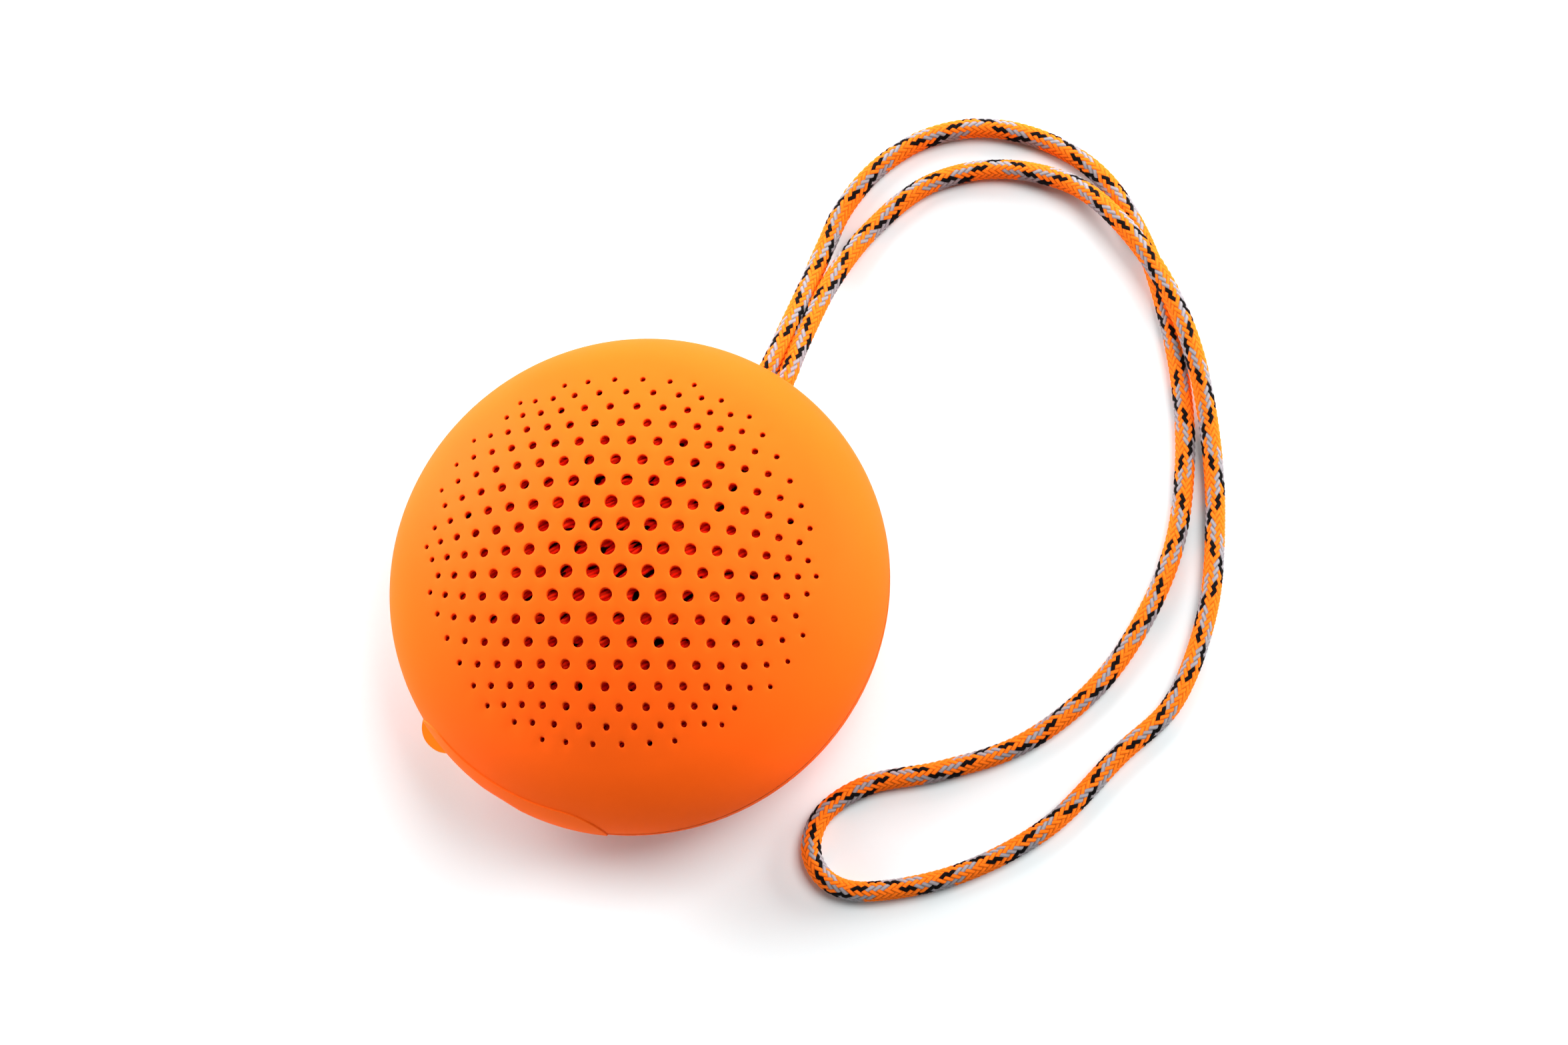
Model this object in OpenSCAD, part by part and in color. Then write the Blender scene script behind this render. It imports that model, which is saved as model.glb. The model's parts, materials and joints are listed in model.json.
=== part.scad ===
// Round portable speaker lying on its back: perforated dome up, standing base towards -Y,
// carrying loop of braided cord towards +Y. Millimetres, origin on the plane that the rear foot rests on.

/* [Body] */
// Widest radius of the body, at its waist
body_r = 44; // [44:0.5:45]
// Height from the rear foot's resting plane to the top of the dome
body_h = 44; // [44:0.5:45]
// Height of the waist, where the body is widest
waist_z = 18; // [18:0.1:18.5]
// Wall thickness of both shells
wall = 2; // [1.9:0.1:2.1]
// Wall thickness of the dome within the field of sound holes
grille_wall = 1.2; // [1.1:0.1:1.3]
// Gap between the shells, which the gasket fills
seam_gap = 0.4; // [0.3:0.1:0.5]

/* [Standing base] */
// Half the length of the rubber pad that the speaker stands on
pad_half_w = 19.3; // [18:0.1:19.5]
// Height at which the pad ends on the dome
pad_top = 25; // [23:0.1:26]
// Height by which the pad stands proud of the shells
pad_proud = 0.25; // [0.2:0.05:0.3]

/* [Sound holes] */
// Spacing of the holes at the centre
hole_pitch = 4.7; // [4.6:0.05:4.8]
// Diameter of the central hole
hole_d = 2.7; // [2.4:0.1:3]
// Loss of hole diameter per step away from the centre
hole_d_step = 0.22; // [0.18:0.01:0.23]
// Share by which the outermost holes are drawn in towards the centre
hole_crowding = 0.15; // [0.12:0.01:0.16]
// Degrees by which the outermost holes gather towards the six axes of the lattice
hole_gather = 2.8; // [0:0.2:3]

/* [Keys] */
// Radius of the central play key
play_key_r = 6; // [5:0.5:6.5]
// Radius of the three other keys
key_r = 4; // [3.5:0.5:4.5]
// Distance of the other keys from the centre
key_offset = 13; // [13:0.5:14]
// Travel of a key
key_travel = 0.6; // [0.4:0.1:0.6]

/* [Cord] */
// Diameter of the braided cord
cord_d = 3.5; // [3.3:0.1:3.5]

/* [Hidden] */
$fn = 64;

BIG = 200;
ORANGE = [1, 0.5, 0.12];
LIGHT_ORANGE = [1, 0.6, 0.25];
RUBBER = [0.1, 0.1, 0.1];
STEEL = [0.7, 0.71, 0.73];
GREEN = [0.05, 0.3, 0.15];

// Shells: each half is a crown arc that runs into a shoulder arc at the waist
dome_rise = body_h - waist_z;
dome_shoulder = 18;
rear_rise = 26;
rear_shoulder = 14;
rear_z = 0.8;
floor_z = rear_z + wall;
rim_z = 17.4;
front_rim_z = rim_z + seam_gap;
lip_outer_r = 41.5;
lip_inner_r = 40.5;
lip_z = 15.4;
collar_h = 2;

// Standing base: a pad let into both shells, with a small flat where it touches the table
pad_low = 16.3;
pad_depth = 0.5;
pad_gap = 0.05;
pad_flat_y = body_r + pad_proud - 0.2;

// Sound holes
hole_rings = 8.5;
pattern_x = 8.74;
pattern_y = 8.18;

// Liner behind the sound holes, and its seat in the inner face of the dome
liner_r = 34.9;
seat_r = 35.4;

// Fasteners, each kind with its head radius, head height, shank radius and shank length
SHELL_SCREW = [1.9, 1.5, 1, 14];
BAFFLE_SCREW = [1.7, 1.4, 0.8, 7];
DRIVER_SCREW = [1.4, 1.1, 0.8, 5];
BOARD_SCREW = [1.5, 1, 0.75, 3.6];
PORT_SCREW = [1.2, 0.9, 0.65, 3.6];
ANCHOR_SCREW = [1.5, 1.2, 0.8, 8.5];
pilot_gap = 0.05;
corners = [45, 135, 225, 315];

// Foot and the screws that it hides
foot_outer_r = 29.8;
foot_inner_r = 25.4;
foot_h = 1.6;
foot_gap = 0.05;
post_r = 27.6;
rear_post_h = 9;
counterbore_z = 3.4;

// Baffle, the inner frame that carries the driver
baffle_r = 40.2;
baffle_z = 20;
baffle_t = 2;
baffle_wall_r = 28;
baffle_top = 31;
baffle_bore = 22.6;
baffle_boss_at = 37.6;
baffle_boss_r = 2.4;

// Driver
driver_screw_at = 24.4;
flange_z = baffle_top + 0.5;
flange_top = flange_z + 1;
coil_r = 8;
coil_gap = 0.4;
motor_z = 13;
top_plate_top = 22;

// Boards
board_z = 6;
board_t = 1;
board_r = 23.5;
board_screw_at = 20.5;
switch_h = 1.3;
stem_top = 3.9;
port_angle = 246.8;
port_x = 29;
port_board_z = 9;
port_pad = [31.5, 5.5];

// Flap over the charging port, hinged along the lower edge
flap_half_w = 4.9;
flap_t = 1.2;
flap_top = 15.4;
flap_gap = 0.2;
hinge_angle = 43;
hinge_depth = 0.9;
hinge_x = body_r - rear_shoulder + (rear_shoulder - hinge_depth) * cos(hinge_angle);
hinge_z = waist_z - (rear_shoulder - hinge_depth) * sin(hinge_angle);
barrel_r = 0.85;
pin_r = 0.4;
pin_half = 6.5;
tab_r = 4.67;
tab_reach = body_r + 2.1;
tab_z = 14.2;
tab_t = 1;

// Cord exit
cord_x = -1.5;
strand_half = 1.8;
cord_z = 11;
anchor_y = [30.3, 35.3];
anchor_half_w = 8;
anchor_z = 8;
anchor_h = 6.2;
anchor_screw_at = 5.9;
socket_y = 31.7;
grommet_y = [38.6, 43.1];

// The cord's route, from one socket of the anchor round the loop and back to the other
left_x = cord_x - strand_half;
right_x = cord_x + strand_half;
lie_z = 1.75;
ROUTE = [
    [left_x, socket_y, cord_z], [left_x, 38, cord_z], [-3.6, 45, 10.8], [-5.4, 54, 8.6],
    [-7.6, 63, 5.2], [-9.8, 72, 2.5], [-11, 80, lie_z], [-9.6, 89.5, lie_z], [-5, 98.5, lie_z],
    [3.5, 105.5, lie_z], [15, 108.6, lie_z], [27, 107.5, lie_z], [39, 101.2, lie_z],
    [50, 91.6, lie_z], [59.5, 81, lie_z], [67.5, 69, lie_z], [73.6, 55, lie_z],
    [75.8, 40, lie_z], [74.6, 26, lie_z], [69, 12, lie_z], [59.5, 1, lie_z],
    [50, -7.5, lie_z], [45.8, -16, lie_z], [47.5, -22.8, lie_z], [53.5, -25.7, lie_z],
    [61, -22.8, lie_z], [72, -12.5, lie_z], [80.6, 2, lie_z], [84.6, 19, lie_z],
    [87.8, 32, lie_z], [84.5, 48.5, lie_z], [77, 63.5, lie_z], [68.2, 76.3, 2.6],
    [58, 87.6, 4.8], [46.5, 96, 5.3], [33.5, 101.6, 5.3], [22, 103.4, 3.2], [9.5, 99.8, lie_z],
    [0, 91, lie_z], [-4.4, 78.5, 2], [-4.6, 66, 4.6], [-2.2, 54, 8.4], [0.1, 45, 10.8],
    [right_x, 38, cord_z], [right_x, socket_y, cord_z]
];
SWEEP_SIDES = 8;

// ---- Outlines and forms ----

// Half profile of a rounded shell, its waist at y = 0, drawn in from the outside by inset
module pebble_outline(rise, shoulder, inset) {
    at = body_r - shoulder;
    crown = (at * at + rise * rise - shoulder * shoulder) / (2 * (rise - shoulder));
    low = rise - crown;
    far = [2 * at, low - 2 * low];
    intersection() {
        translate([0, low]) circle(r = crown - inset, $fn = 180);
        polygon([[0, low], [0, BIG], far * 3 - [0, 2 * low]]);
    }
    intersection() {
        translate([at, 0]) circle(r = shoulder - inset, $fn = 120);
        polygon([[0, low], [6 * at, low], far * 3 - [0, 2 * low]]);
    }
}

module front_form(inset, from_z = front_rim_z) {
    translate([0, 0, waist_z]) rotate_extrude($fn = 180) intersection() {
        pebble_outline(dome_rise, dome_shoulder, inset);
        translate([0, from_z - waist_z]) square(BIG);
    }
}

module rear_form(inset, from_z, to_z = rim_z) {
    translate([0, 0, waist_z]) rotate_extrude($fn = 180) intersection() {
        mirror([0, 1]) pebble_outline(rear_rise, rear_shoulder, inset);
        translate([0, from_z - waist_z]) square([BIG, to_z - from_z]);
    }
}

// Both halves of the body in one piece
module whole_form(inset) {
    front_form(inset, waist_z);
    rear_form(inset, rear_z, waist_z);
}

// Prism along Y with the outline of the standing base's pad
module pad_prism(gap) {
    r = pad_top - waist_z + gap;
    at = pad_half_w + gap - r;
    translate([0, -30, 0]) rotate([90, 0, 0]) linear_extrude(30) intersection() {
        union() {
            for (side = [-1, 1]) translate([side * at, waist_z]) circle(r = r);
            translate([-at, waist_z - r]) square([2 * at, 2 * r]);
        }
        translate([-BIG, pad_low - gap]) square(2 * BIG);
    }
}

// Copies of the children round the axis
module ring_of(angles, at, z) {
    for (a = angles) rotate([0, 0, a]) translate([at, 0, z]) children();
}

// Screw with its head upwards from z = 0 and its shank below
module screw(kind) {
    color(STEEL) difference() {
        union() {
            cylinder(r = kind[0], h = kind[1]);
            translate([0, 0, -kind[3]]) cylinder(r = kind[2], h = kind[3]);
        }
        translate([0, 0, kind[1] / 2]) cylinder(r = kind[0] * 0.45, h = kind[1], $fn = 6);
    }
}

// Point on the smooth curve through the route, at step s counted in route points
function route_point(route, i) = route[max(0, min(len(route) - 1, i))];
function blend_point(a, b, c, d, t) =
    0.5 * (2 * b + (c - a) * t + (2 * a - 5 * b + 4 * c - d) * t * t
    + (3 * b - a - 3 * c + d) * t * t * t);
function curve_point(route, s) =
    let (i = min(floor(s), len(route) - 2))
    blend_point(
        route_point(route, i - 1), route_point(route, i),
        route_point(route, i + 1), route_point(route, i + 2), s - i
    );

// Directions of a sweep at ring k: along it, and the two across it
function unit(v) = v / norm(v);
function along(centres, k) =
    unit(centres[min(k + 1, len(centres) - 1)] - centres[max(k - 1, 0)]);
function ring_of_points(centres, k, d, up) =
    let (ahead = along(centres, k), side = unit(cross(up, ahead)), rise = cross(ahead, side))
    [
        for (m = [0:SWEEP_SIDES - 1])
            let (a = (m + 0.5) * 360 / SWEEP_SIDES)
            centres[k] + d / 2 * (cos(a) * side + sin(a) * rise)
    ];

// Round wire or cord of diameter d along the curve; up is a direction that it never runs along
module sweep(route, d, rings, up) {
    last = rings - 1;
    centres = [for (k = [0:last]) curve_point(route, (len(route) - 1) * k / last)];
    points = [for (k = [0:last]) each ring_of_points(centres, k, d, up)];
    sides = [
        for (k = [0:last - 1], m = [0:SWEEP_SIDES - 1])
            let (n = (m + 1) % SWEEP_SIDES, base = k * SWEEP_SIDES)
            [base + m, base + m + SWEEP_SIDES, base + n + SWEEP_SIDES, base + n]
    ];
    first_end = [for (m = [0:SWEEP_SIDES - 1]) m];
    last_end = [for (m = [SWEEP_SIDES - 1:-1:0]) last * SWEEP_SIDES + m];
    polyhedron(points = points, faces = concat(sides, [first_end, last_end]));
}

module lead(route) {
    color([0.7, 0.1, 0.1]) sweep(route, 1.2, 18, [1, 0, 0]);
}

// Oval passage for the two strands, along Y
module strand_oval(r, from_y, to_y) {
    translate([cord_x, from_y, cord_z]) rotate([-90, 0, 0]) linear_extrude(to_y - from_y) {
        for (side = [-1, 1]) translate([side * strand_half, 0]) circle(r = r);
        square([2 * strand_half, 2 * r], center = true);
    }
}

module at_port() {
    rotate([0, 0, port_angle]) children();
}

// ---- Shells ----

function lattice_x(i, j) = i + j / 2;
function lattice_y(j) = j * sqrt(3) / 2;
function in_pattern(u, v) = pow(u / pattern_x, 2) + pow(v / pattern_y, 2) <= 1;

// Hole of the six-sided lattice at step i along the row j
module sound_hole(i, j) {
    steps = norm([lattice_x(i, j), lattice_y(j)]);
    a = atan2(lattice_y(j), lattice_x(i, j));
    outward = steps / hole_rings;
    turned = a + 30 - hole_gather * pow(outward, 4) * sin(6 * a);
    r = hole_pitch * steps * (1 - hole_crowding * pow(outward, 2));
    if (in_pattern(steps * cos(a + 30), steps * sin(a + 30)))
        translate([r * cos(turned), r * sin(turned)])
            circle(d = hole_d - hole_d_step * steps, $fn = 24);
}

module sound_holes() {
    translate([0, 0, waist_z + 4]) linear_extrude(BIG / 4)
        for (j = [-9:9], i = [-12:12]) sound_hole(i, j);
}

module pad_recess() {
    difference() {
        pad_prism(pad_gap);
        whole_form(pad_depth);
    }
}

module liner_seat() {
    intersection() {
        front_form(grille_wall);
        translate([0, 0, waist_z]) cylinder(r = seat_r, h = BIG / 4);
    }
}

module front_shell() {
    color(ORANGE) {
        difference() {
            front_form(0);
            front_form(wall);
            liner_seat();
            sound_holes();
            pad_recess();
        }
        difference() {
            union() {
                translate([0, 0, front_rim_z]) cylinder(r = lip_outer_r + 1.1, h = collar_h);
                translate([0, 0, lip_z]) cylinder(r = lip_outer_r, h = front_rim_z - lip_z);
            }
            translate([0, 0, lip_z - 1]) cylinder(r = lip_inner_r, h = BIG / 4);
        }
        difference() {
            intersection() {
                front_form(wall / 2);
                ring_of(corners, baffle_boss_at, baffle_z + baffle_t)
                    cylinder(r = baffle_boss_r, h = 11);
            }
            ring_of(corners, baffle_boss_at, baffle_z)
                cylinder(r = BAFFLE_SCREW[2] + pilot_gap, h = 7.3);
        }
    }
}

module rear_posts() {
    ring_of(corners, post_r, 1.5) cylinder(r = 3.2, h = rear_post_h - 1.5);
    ring_of(corners, board_screw_at, 1.5) cylinder(r = 2, h = board_z - 1.5);
    translate([cord_x - anchor_half_w, anchor_y[0], 1.5])
        cube([2 * anchor_half_w, anchor_y[1] - anchor_y[0], anchor_z - 1.5]);
    at_port() {
        for (side = [-1, 1]) translate([port_pad[0], side * port_pad[1], 1.5])
            cylinder(r = 1.5, h = port_board_z - 1.5);
        translate([hinge_x, 0, hinge_z]) rotate([90, 0, 0])
            cylinder(r = 2.2, h = 2 * pin_half + 1.4, center = true);
    }
}

// Room in the rear shell for the closed flap, its barrel and its swing
module flap_recess() {
    half_w = flap_half_w + flap_gap;
    at_port() {
        difference() {
            flap_wedge(half_w, flap_gap, 0);
            rotate([0, 0, -port_angle]) rear_form(flap_t + flap_gap, rear_z);
        }
        translate([hinge_x, 0, hinge_z]) rotate([90, 0, 0])
            cylinder(r = barrel_r + 0.15, h = 2 * half_w, center = true);
        translate([hinge_x, -half_w, hinge_z]) rotate([0, hinge_angle, 0])
            translate([0, 0, -1.35]) cube([4, 2 * half_w, 2.35]);
        translate([36, -4, 9.9]) cube([10, 8, 3]);
        translate([hinge_x, 0, hinge_z]) rotate([90, 0, 0])
            cylinder(r = pin_r, h = 2 * pin_half, center = true);
    }
}

module rear_shell() {
    color(ORANGE) difference() {
        union() {
            difference() {
                rear_form(0, rear_z);
                rear_form(wall, floor_z);
            }
            intersection() {
                rear_form(wall / 2, rear_z + wall / 2);
                rear_posts();
            }
        }
        difference() {
            cylinder(r = foot_outer_r + foot_gap, h = foot_h);
            cylinder(r = foot_inner_r - foot_gap, h = foot_h);
        }
        ring_of(corners, post_r, 0) cylinder(r = SHELL_SCREW[0] + 0.1, h = counterbore_z);
        ring_of(corners, post_r, 0) cylinder(r = SHELL_SCREW[2] + 0.15, h = rear_post_h + 1);
        ring_of(corners, board_screw_at, floor_z) cylinder(r = BOARD_SCREW[2] + pilot_gap, h = 4);
        cylinder(r = play_key_r + 0.15, h = floor_z + 1);
        for (a = [0, 180, 270]) rotate([0, 0, a]) translate([key_offset, 0, 0])
            cylinder(r = key_r + 0.15, h = floor_z + 1);
        translate([0, 12.5, 0]) cylinder(r = 1.25, h = floor_z + 1);
        translate([6, 12.5, 0]) cylinder(r = 0.5, h = floor_z + 1);
        strand_oval(2.65, 37, 47);
        for (side = [-1, 1]) translate([cord_x + side * anchor_screw_at, 33, 5])
            cylinder(r = ANCHOR_SCREW[2] + pilot_gap, h = anchor_z);
        at_port() for (side = [-1, 1]) translate([port_pad[0], side * port_pad[1], 5.8])
            cylinder(r = PORT_SCREW[2] + pilot_gap, h = 4);
        flap_recess();
        pad_recess();
    }
}

module shell_gasket() {
    color(RUBBER) difference() {
        translate([0, 0, rim_z]) cylinder(r = body_r - 0.1, h = seam_gap);
        translate([0, 0, rim_z - 1]) cylinder(r = body_r - wall, h = 3);
        pad_recess();
    }
}

module grille_liner() {
    gap = 0.15;
    color([0.8, 0.15, 0.05]) translate([0, 0, waist_z]) rotate_extrude($fn = 180) intersection() {
        difference() {
            pebble_outline(dome_rise, dome_shoulder, grille_wall + gap);
            pebble_outline(dome_rise, dome_shoulder, grille_wall + gap + 0.8);
        }
        square([liner_r, BIG]);
    }
}

module rear_foot() {
    color(RUBBER) difference() {
        cylinder(r = foot_outer_r, h = foot_h);
        translate([0, 0, -1]) cylinder(r = foot_inner_r, h = foot_h + 2);
    }
}

module base_pad() {
    color(LIGHT_ORANGE) difference() {
        intersection() {
            whole_form(-pad_proud);
            pad_prism(0);
        }
        whole_form(pad_depth);
        translate([-BIG / 2, -BIG - pad_flat_y, 0]) cube(BIG);
    }
}

module shell_screws() {
    ring_of(corners, post_r, counterbore_z) rotate([180, 0, 0]) screw(SHELL_SCREW);
}

// ---- Baffle and driver ----

module baffle() {
    color([0.15, 0.15, 0.16]) difference() {
        union() {
            rotate_extrude($fn = 120) polygon([
                [baffle_wall_r - 2, baffle_z], [baffle_r, baffle_z],
                [baffle_r, baffle_z + baffle_t], [baffle_wall_r, baffle_z + baffle_t],
                [baffle_wall_r, baffle_top], [baffle_bore, baffle_top],
                [baffle_bore, baffle_top - 2], [baffle_wall_r - 2, baffle_top - 2]
            ]);
            ring_of(corners, post_r, rear_post_h)
                cylinder(r = 2.6, h = baffle_z + 1 - rear_post_h);
        }
        ring_of(corners, post_r, rear_post_h - 1)
            cylinder(r = SHELL_SCREW[2] + pilot_gap, h = 9.5);
        ring_of(corners, baffle_boss_at, baffle_z - 1)
            cylinder(r = BAFFLE_SCREW[2] + 0.2, h = 4);
        ring_of([0, 90, 180, 270], driver_screw_at, baffle_top - 3)
            cylinder(r = DRIVER_SCREW[2] + pilot_gap, h = 4);
    }
}

module baffle_screws() {
    ring_of(corners, baffle_boss_at, baffle_z) rotate([180, 0, 0]) screw(BAFFLE_SCREW);
}

module driver_gasket() {
    color(RUBBER) difference() {
        translate([0, 0, baffle_top]) cylinder(r = 25.9, h = flange_z - baffle_top);
        translate([0, 0, baffle_top - 1]) cylinder(r = 22.8, h = 3);
        ring_of([0, 90, 180, 270], driver_screw_at, baffle_top - 1)
            cylinder(r = DRIVER_SCREW[2] + 0.2, h = 3);
    }
}

module driver_basket() {
    color([0.25, 0.25, 0.27]) difference() {
        rotate_extrude($fn = 120) polygon([
            [8.6, top_plate_top], [13.6, top_plate_top], [22.3, flange_z - 0.9],
            [22.3, flange_z], [25.9, flange_z], [25.9, flange_top], [21.4, flange_top],
            [21.4, flange_z], [13, top_plate_top + 1.2], [8.6, top_plate_top + 1.2]
        ]);
        for (a = [45, 135, 225, 315]) rotate([0, 0, a]) translate([12, -5, 25])
            cube([12, 10, 5.4]);
        ring_of([0, 90, 180, 270], driver_screw_at, flange_z - 1)
            cylinder(r = DRIVER_SCREW[2] + 0.2, h = 3);
    }
}

module driver_surround() {
    roll_at = 20.1;
    color([0.12, 0.12, 0.13]) translate([0, 0, flange_top]) rotate_extrude($fn = 120) {
        intersection() {
            translate([roll_at, 0]) difference() {
                circle(r = 1.9);
                circle(r = 1.4);
            }
            square([BIG, 5]);
        }
        translate([17.4, 0]) square([1.1, 0.5]);
        translate([21.7, 0]) square([1, 0.5]);
    }
}

module driver_cone() {
    color([0.2, 0.2, 0.22]) rotate_extrude($fn = 120) polygon([
        [coil_r, 26.9], [17.9, flange_top - 0.6], [18.4, flange_top - 0.6],
        [18.4, flange_top], [17.7, flange_top], [coil_r, 27.5]
    ]);
}

module dust_cap() {
    cap_r = 12;
    color([0.16, 0.16, 0.18]) rotate_extrude($fn = 120) intersection() {
        translate([0, 18.56]) difference() {
            circle(r = cap_r);
            circle(r = cap_r - 0.4);
        }
        translate([0, 27.5]) square([coil_r, 6]);
    }
}

module voice_coil() {
    color([0.75, 0.42, 0.2]) difference() {
        translate([0, 0, 20.5]) cylinder(r = coil_r, h = 7);
        translate([0, 0, 19]) cylinder(r = coil_r - coil_gap, h = 10);
    }
}

module spider() {
    ledge_z = top_plate_top + 2.2;
    color([0.75, 0.6, 0.3]) translate([0, 0, ledge_z]) difference() {
        union() {
            cylinder(r = 14, h = 0.4);
            for (r = [10, 12]) difference() {
                cylinder(r = r + 0.5, h = 0.8);
                translate([0, 0, -1]) cylinder(r = r, h = 3);
            }
        }
        translate([0, 0, -1]) cylinder(r = coil_r + 0.05, h = 3);
    }
}

module top_plate() {
    color(STEEL) difference() {
        translate([0, 0, 20]) cylinder(r = 12.5, h = top_plate_top - 20);
        translate([0, 0, 19]) cylinder(r = coil_r + coil_gap, h = 5);
    }
}

module magnet() {
    color([0.2, 0.2, 0.21]) difference() {
        translate([0, 0, motor_z + 2]) cylinder(r = 13.2, h = 20 - motor_z - 2);
        translate([0, 0, motor_z]) cylinder(r = 9.2, h = 10);
    }
}

module yoke() {
    color(STEEL) {
        translate([0, 0, motor_z]) cylinder(r = 12.5, h = 2);
        translate([0, 0, motor_z + 1]) cylinder(r = 7.2, h = top_plate_top - motor_z - 1);
    }
}

module driver_terminal() {
    color([0.45, 0.3, 0.15]) difference() {
        translate([-4, 13.6, top_plate_top]) cube([8, 5.4, 1]);
        cylinder(r = 13.65, h = 40);
    }
}

module driver_screws() {
    ring_of([0, 90, 180, 270], driver_screw_at, flange_top) screw(DRIVER_SCREW);
}

module driver_lead() {
    lead([
        [0, 17.8, top_plate_top], [0, 17.8, 20.4], [0, 19.8, 16.5], [0, 19, 12.5],
        [0, 17.5, 11], [0, 17.5, 9.6]
    ]);
}

// ---- Electronics ----

module main_board() {
    color(GREEN) difference() {
        translate([0, 0, board_z]) cylinder(r = board_r, h = board_t);
        ring_of(corners, board_screw_at, board_z - 1) cylinder(r = BOARD_SCREW[2] + 0.2, h = 4);
    }
}

module radio_module() {
    color(STEEL) translate([-6, -5.5, board_z + board_t]) cube([12, 11, 1.2]);
}

// Sockets for the leads of the driver, the battery and the port board
module board_connectors() {
    top = board_z + board_t;
    color([0.92, 0.9, 0.84]) {
        translate([-3, 15.9, top]) cube([6, 3.4, 2.6]);
        translate([-0.5, -19.3, top]) cube([5, 3.4, 2.6]);
        translate([-12.5, -18.8, top]) cube([5, 3.4, 2.6]);
    }
}

module board_screws() {
    ring_of(corners, board_screw_at, board_z + board_t) screw(BOARD_SCREW);
}

module tact_switch(x, y) {
    color([0.1, 0.1, 0.1]) {
        translate([x - 2.25, y - 2.25, board_z - switch_h]) cube([4.5, 4.5, switch_h]);
        translate([x, y, board_z - switch_h - 0.15]) cylinder(r = 1, h = 0.3);
    }
}

module power_switch() {
    tact_switch(0, -key_offset);
}

module play_switch() {
    tact_switch(0, 0);
}

module volume_down_switch() {
    tact_switch(-key_offset, 0);
}

module volume_up_switch() {
    tact_switch(key_offset, 0);
}

module microphone() {
    color(STEEL) translate([4.5, 11.4, board_z - 0.9]) cube([3, 2.2, 0.9]);
}

module status_led() {
    color([0.95, 0.95, 0.85]) translate([-0.8, 12.1, board_z - 0.6]) cube([1.6, 0.8, 0.6]);
}

module light_pipe() {
    color([0.9, 0.9, 0.95]) translate([0, 12.5, 0]) {
        translate([0, 0, rear_z]) cylinder(r = 1.2, h = 4.4);
        translate([0, 0, floor_z]) cylinder(r = 1.8, h = 0.6);
    }
}

module battery_pad() {
    color([0.2, 0.2, 0.22]) translate([-15, -11, 8.2]) cube([30, 22, 0.6]);
}

module battery() {
    r = 1.9;
    color([0.75, 0.77, 0.8]) {
        translate([-19, -12.1, 8.8]) cube([38, 24.2, 2 * r]);
        for (side = [-1, 1]) translate([-19, side * 12.1, 8.8 + r]) rotate([0, 90, 0])
            cylinder(r = r, h = 38);
    }
}

module battery_lead() {
    lead([[2, -14, 11], [2, -15.4, 11.4], [2, -17, 11.2], [2, -17.6, 10.4], [2, -17.6, 9.6]]);
}

module port_board() {
    color(GREEN) at_port() difference() {
        translate([port_x, -7.2, port_board_z]) cube([8, 14.4, 1]);
        for (side = [-1, 1]) translate([port_pad[0], side * port_pad[1], port_board_z - 1])
            cylinder(r = PORT_SCREW[2] + 0.15, h = 3);
    }
}

module port_screws() {
    at_port() for (side = [-1, 1]) translate([port_pad[0], side * port_pad[1], port_board_z + 1])
        screw(PORT_SCREW);
}

module usb_socket() {
    half_w = 3.75;
    h = 2.8;
    color(STEEL) at_port() translate([32, -half_w, port_board_z + 1]) {
        difference() {
            cube([7, 2 * half_w, h]);
            translate([1, 0.3, 0.3]) cube([7, 2 * half_w - 0.6, h - 0.6]);
        }
        translate([0.5, 1.6, 1.1]) cube([5.5, 4.3, 0.6]);
    }
}

module port_lead() {
    lead([
        [-11.9, -27.8, port_board_z + 1], [-11.9, -27.5, 11.2], [-11.3, -25, 12],
        [-10.6, -20, 12], [-10.1, -17.6, 11.4], [-10, -17.1, 10.5], [-10, -17.1, 9.6]
    ]);
}

// ---- Moving parts ----

// Key with its cap, the flange that keeps it in and the stem that presses the switch
module key(x, y, r) {
    color(RUBBER) translate([x, y, 0]) {
        translate([0, 0, 0.4]) cylinder(r = r, h = floor_z - 0.3);
        translate([0, 0, floor_z]) cylinder(r = r + 0.7, h = 0.6);
        translate([0, 0, floor_z]) cylinder(r = 1.2, h = stem_top - floor_z);
    }
}

module power_button() {
    key(0, -key_offset, key_r);
}

module play_button() {
    key(0, 0, play_key_r);
}

module volume_down_button() {
    key(-key_offset, 0, key_r);
}

module volume_up_button() {
    key(key_offset, 0, key_r);
}

// Prism between the plane of the hinge and the top of the flap, in the port's own frame
module flap_wedge(half_w, above, below) {
    top = flap_top + above - waist_z;
    start = body_r - rear_shoulder;
    far = 30;
    translate([start, half_w, waist_z - below]) rotate([90, 0, 0]) linear_extrude(2 * half_w)
        polygon([[-top / tan(hinge_angle), top], [far, top], [far, -far * tan(hinge_angle)]]);
}

// Curved flap with its hinge barrel and the pull tab at its free edge
module port_flap() {
    color(LIGHT_ORANGE) at_port() difference() {
        union() {
            intersection() {
                rotate([0, 0, -port_angle]) difference() {
                    rear_form(0, rear_z);
                    rear_form(flap_t, rear_z - 1);
                }
                flap_wedge(flap_half_w, 0, 0);
            }
            translate([hinge_x, 0, hinge_z]) rotate([90, 0, 0])
                cylinder(r = barrel_r, h = 2 * flap_half_w, center = true);
            difference() {
                translate([tab_reach - tab_r, 0, tab_z]) cylinder(r = tab_r, h = tab_t);
                rotate([0, 0, -port_angle]) rear_form(flap_t / 2, rear_z);
            }
        }
        translate([hinge_x, 0, hinge_z]) rotate([90, 0, 0])
            cylinder(r = pin_r + 0.05, h = 3 * flap_half_w, center = true);
    }
}

module flap_pin() {
    color(STEEL) at_port() translate([hinge_x, 0, hinge_z]) rotate([90, 0, 0])
        cylinder(r = pin_r, h = 2 * pin_half, center = true);
}

// ---- Carrying loop ----

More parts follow.
